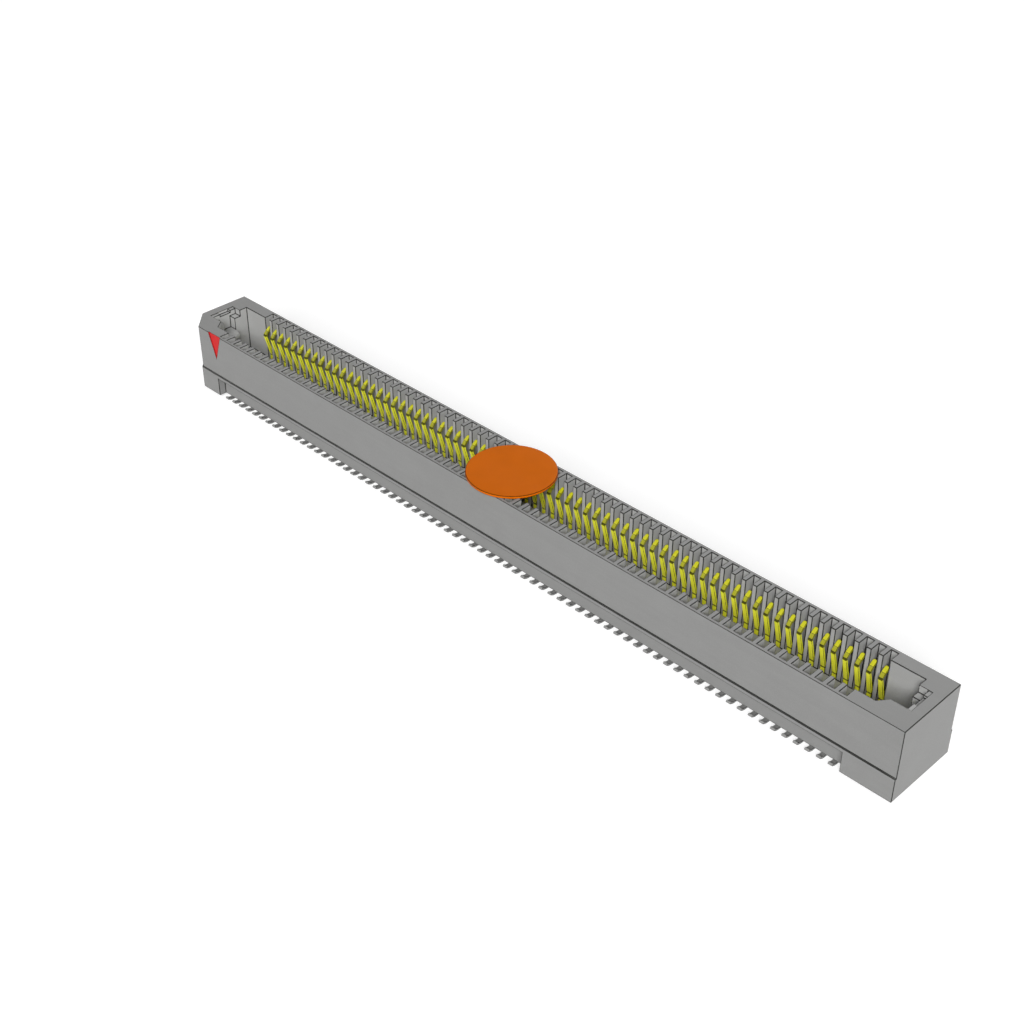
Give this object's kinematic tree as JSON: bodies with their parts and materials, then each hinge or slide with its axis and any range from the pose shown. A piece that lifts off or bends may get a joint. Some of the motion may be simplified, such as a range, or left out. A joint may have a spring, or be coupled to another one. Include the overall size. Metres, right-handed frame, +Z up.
{
  "type": "board-to-board socket connector",
  "caption": "Fine-pitch dual-row surface-mount board-to-board socket: a long moulded housing with formed spring contacts, solder feet and a round lift-off film pad.",
  "frame": {"origin": "midway between the two rows and midway along them, on the board surface under the solder feet", "axes": "+X along the rows towards the end without the pin-one corner, +Y towards the rear row, +Z up from the board"},
  "size_m": [0.0634, 0.006, 0.0055],
  "materials": {
    "housing": "satin moulded high-temperature plastic, mid grey",
    "film_pad": "smooth amber-orange polyimide film",
    "marker_red": "red ink lining in the moulded triangle",
    "contacts": "copper alloy strip, gold-plated at the mating end and tin-plated at the foot"
  },
  "bodies": {
    "root": {"housing": "housing", "pick_and_place_pad": "film_pad", "pin_one_marker": "marker_red", "front_contacts_01": "contacts", "front_contacts_02": "contacts", "front_contacts_03": "contacts", "front_contacts_04": "contacts", "front_contacts_05": "contacts", "front_contacts_06": "contacts", "front_contacts_07": "contacts", "front_contacts_08": "contacts", "front_contacts_09": "contacts", "front_contacts_10": "contacts", "front_contacts_11": "contacts", "front_contacts_12": "contacts", "front_contacts_13": "contacts", "front_contacts_14": "contacts", "rear_contacts_01": "contacts", "rear_contacts_02": "contacts", "rear_contacts_03": "contacts", "rear_contacts_04": "contacts", "rear_contacts_05": "contacts", "rear_contacts_06": "contacts", "rear_contacts_07": "contacts", "rear_contacts_08": "contacts", "rear_contacts_09": "contacts", "rear_contacts_10": "contacts", "rear_contacts_11": "contacts", "rear_contacts_12": "contacts", "rear_contacts_13": "contacts", "rear_contacts_14": "contacts"}
  },
  "joints": []
}
